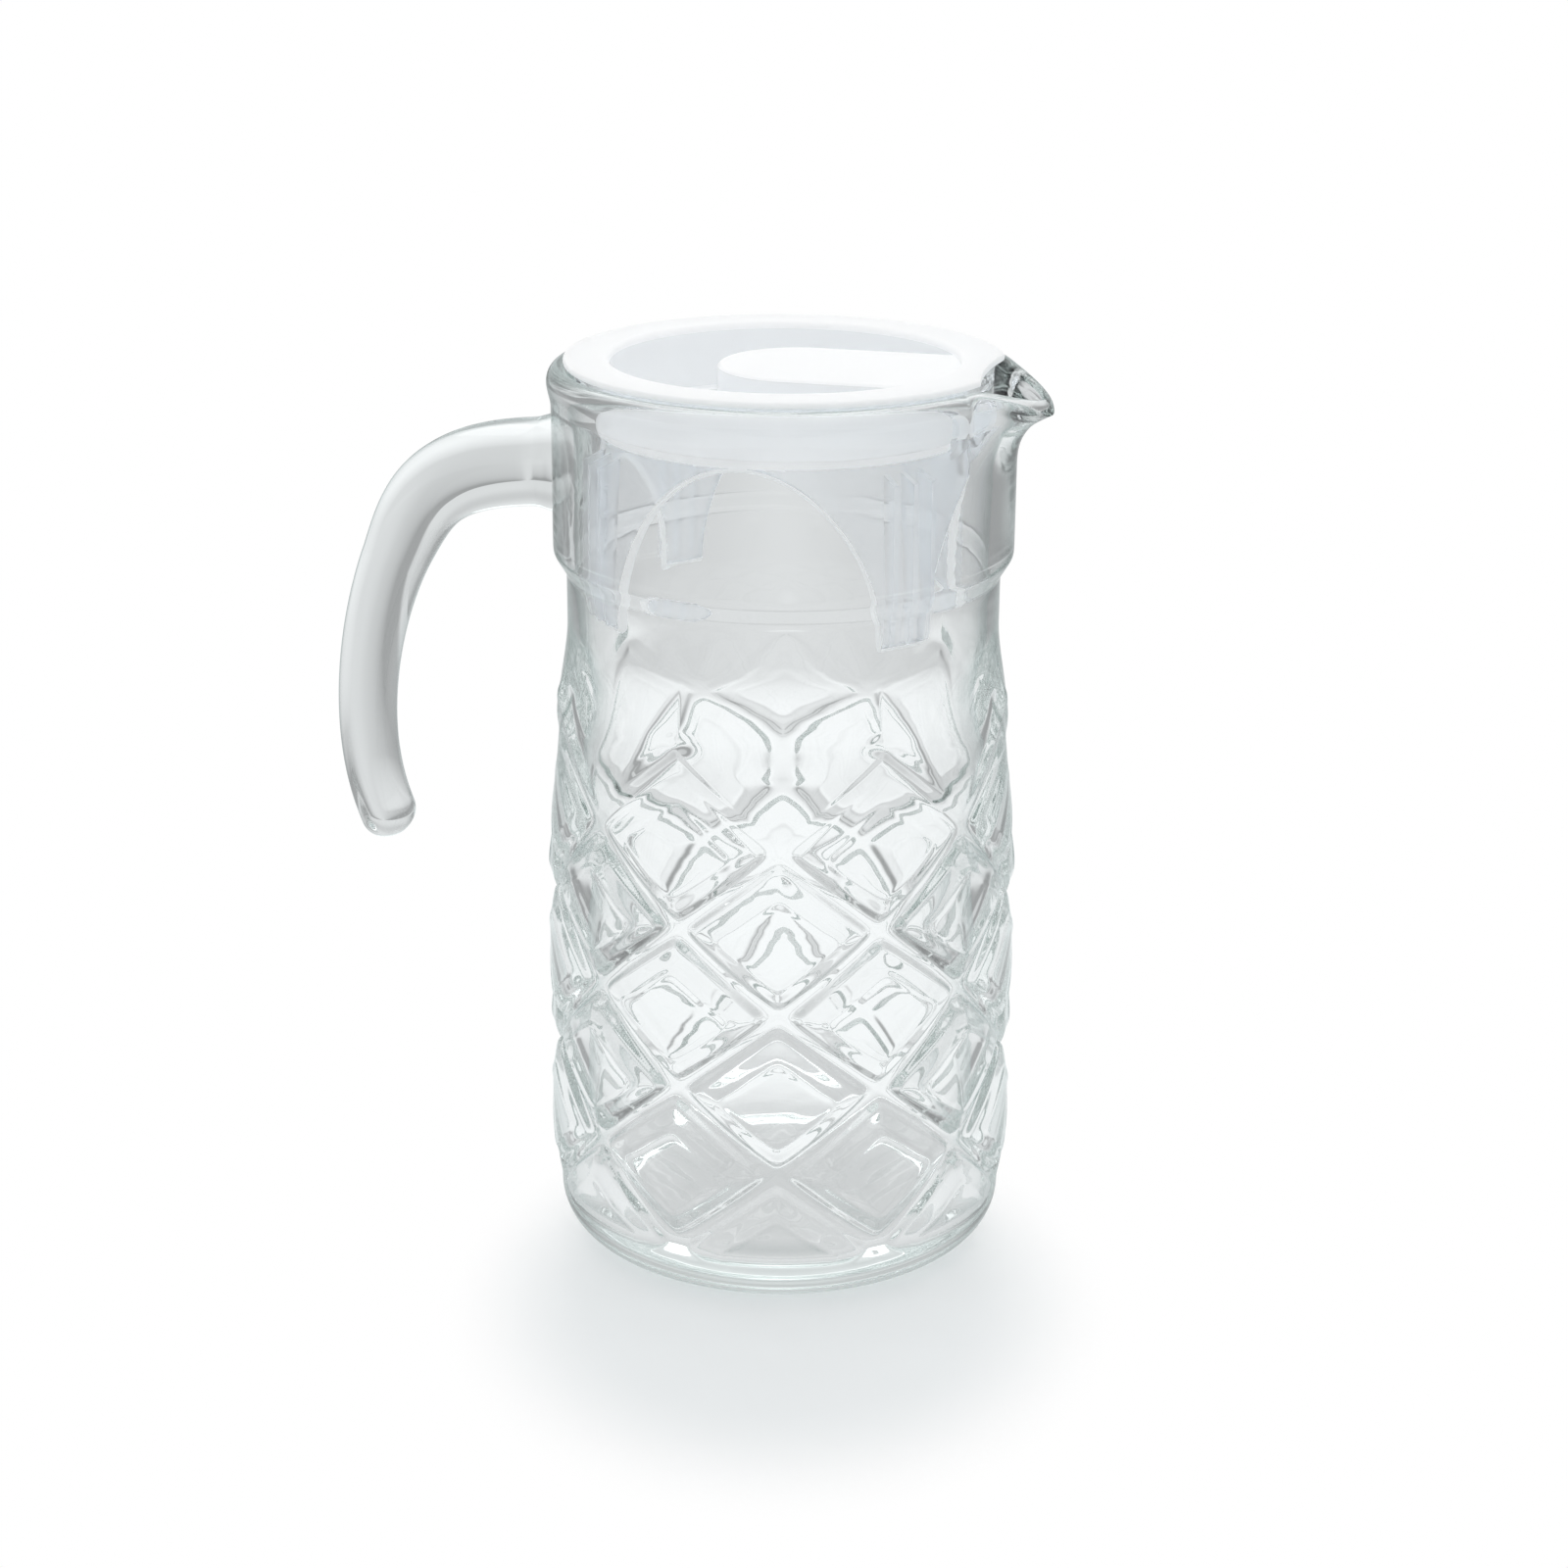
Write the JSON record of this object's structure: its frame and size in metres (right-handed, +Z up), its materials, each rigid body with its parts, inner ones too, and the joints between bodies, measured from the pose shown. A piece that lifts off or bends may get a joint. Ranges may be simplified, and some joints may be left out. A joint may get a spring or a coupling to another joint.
{
  "type": "glass jug with lid",
  "caption": "Pressed glass jug with a diamond relief, a poured lip and an open hook handle, closed by a loose white plastic lid that lifts out and turns.",
  "frame": {"origin": "on the jug's axis, on the plane that it stands on", "axes": "+Z up along the jug's axis, +X towards the spout, -X towards the handle"},
  "size_m": [0.1686, 0.1094, 0.2098],
  "materials": {
    "clear_glass": "fire-polished clear pressed glass with a faint grey-green tint",
    "handle_glass": "fire-polished clear pressed glass, solid",
    "milky_plastic": "milky translucent moulded plastic, satin"
  },
  "bodies": {
    "jug": {"jug_body": "clear_glass", "handle": "handle_glass"},
    "lid_rib": {"lid_centring_rib": "milky_plastic"},
    "lid": {"lid": "milky_plastic"}
  },
  "joints": [
    {"name": "lid_lift", "type": "slide", "parent": "jug", "child": "lid_rib", "axis": [0, 0, 1], "range_m": [0, 0.07]},
    {"name": "lid_turn", "type": "hinge", "parent": "lid_rib", "child": "lid", "pos_m": [0, 0, 0.2083], "axis": [0, 0, 1], "continuous": true}
  ]
}
